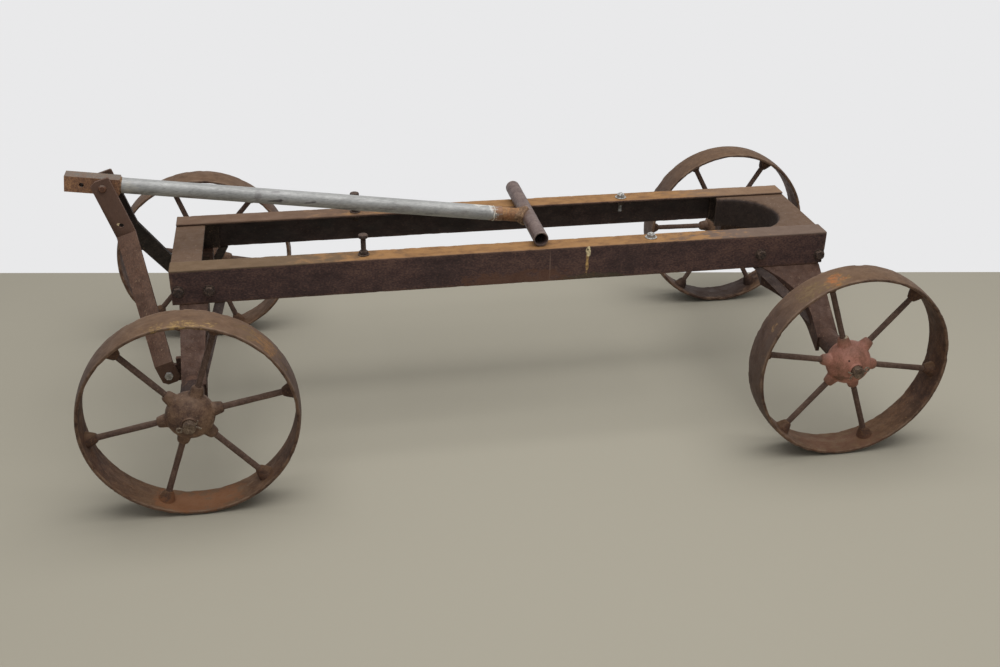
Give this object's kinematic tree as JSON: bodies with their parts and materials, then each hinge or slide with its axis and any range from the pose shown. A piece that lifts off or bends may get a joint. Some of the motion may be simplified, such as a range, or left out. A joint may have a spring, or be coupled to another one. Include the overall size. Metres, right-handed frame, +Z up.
{
  "type": "iron cart chassis with folding drawbar",
  "caption": "Rusty iron hand-cart chassis: angle-iron frame on splayed legs, spoked iron wheels that turn, and a hinged yoke with a pipe drawbar folded back on the frame.",
  "frame": {"origin": "on the floor, at the middle of the footprint's box: halfway between the nose of the folded drawbar's block and the rear wheels, midway between the wheels' outer ends", "axes": "+X from the drawbar end to the rear along the rails, +Y to the cart's right when seen from behind the drawbar end, +Z up"},
  "size_m": [1.8338, 0.896, 0.585],
  "materials": {
    "rail_steel": "rusted mild steel angle, purple-brown with tan streaks",
    "crossmember_steel": "rusted pressed steel, dull brown",
    "leg_iron": "dark rusted forged iron",
    "strap_iron": "red-brown rusted flat bar",
    "block_iron": "tan and brown rusted square bar",
    "wheel_iron": "rusted cast iron, worn tan on the tread",
    "spoke_iron": "dark rusted round bar",
    "hub_iron": "brown rusted cast iron",
    "hub_primer": "cast iron with faded red primer",
    "spindle_steel": "worn turned steel with old grease",
    "galvanised_steel": "mottled grey galvanised pipe",
    "bronze_rust": "fresh orange-brown rust",
    "crossbar_steel": "dark grey-brown steel tube",
    "zinc_steel": "bright zinc plated bolts"
  },
  "bodies": {
    "chassis": {"left_rail": "rail_steel", "right_rail": "rail_steel", "front_crossmember": "crossmember_steel", "rear_crossmember": "crossmember_steel", "front_left_leg": "leg_iron", "front_left_brace": "leg_iron", "front_left_spindle": "spindle_steel", "front_right_leg": "leg_iron", "front_right_brace": "leg_iron", "front_right_spindle": "spindle_steel", "rear_left_leg": "leg_iron", "rear_left_brace": "leg_iron", "rear_left_spindle": "spindle_steel", "rear_right_leg": "leg_iron", "rear_right_brace": "leg_iron", "rear_right_spindle": "spindle_steel", "left_yoke_lug": "leg_iron", "right_yoke_lug": "leg_iron", "left_yoke_bolt": "zinc_steel", "right_yoke_bolt": "zinc_steel"},
    "yoke": {"left_strap": "strap_iron", "right_strap": "strap_iron", "pivot_pin": "strap_iron"},
    "drawbar": {"pivot_block": "block_iron", "drawbar_pipe": "galvanised_steel", "drawbar_stub": "bronze_rust", "crossbar": "crossbar_steel"},
    "front_left_wheel": {"front_left_rim": "wheel_iron", "front_left_spokes": "spoke_iron", "front_left_hub": "hub_iron"},
    "front_right_wheel": {"front_right_rim": "wheel_iron", "front_right_spokes": "spoke_iron", "front_right_hub": "hub_iron"},
    "rear_left_wheel": {"rear_left_rim": "wheel_iron", "rear_left_spokes": "spoke_iron", "rear_left_hub": "hub_primer"},
    "rear_right_wheel": {"rear_right_rim": "wheel_iron", "rear_right_spokes": "spoke_iron", "rear_right_hub": "hub_iron"}
  },
  "joints": [
    {"name": "yoke_pivot", "type": "hinge", "parent": "chassis", "child": "yoke", "pos_m": [-0.72859, 0, 0.222], "axis": [0, -1, 0], "range_deg": [0, 75]},
    {"name": "drawbar_pivot", "type": "hinge", "parent": "yoke", "child": "drawbar", "pos_m": [-0.83832, 0, 0.55772], "axis": [0, -1, 0], "range_deg": [0, 116]},
    {"name": "front_left_spin", "type": "hinge", "parent": "chassis", "child": "front_left_wheel", "pos_m": [-0.67909, -0.3925, 0.215], "axis": [0, 1, 0], "continuous": true},
    {"name": "front_right_spin", "type": "hinge", "parent": "chassis", "child": "front_right_wheel", "pos_m": [-0.67909, 0.3925, 0.215], "axis": [0, 1, 0], "continuous": true},
    {"name": "rear_left_spin", "type": "hinge", "parent": "chassis", "child": "rear_left_wheel", "pos_m": [0.70191, -0.3925, 0.215], "axis": [0, 1, 0], "continuous": true},
    {"name": "rear_right_spin", "type": "hinge", "parent": "chassis", "child": "rear_right_wheel", "pos_m": [0.70191, 0.3925, 0.215], "axis": [0, 1, 0], "continuous": true}
  ]
}
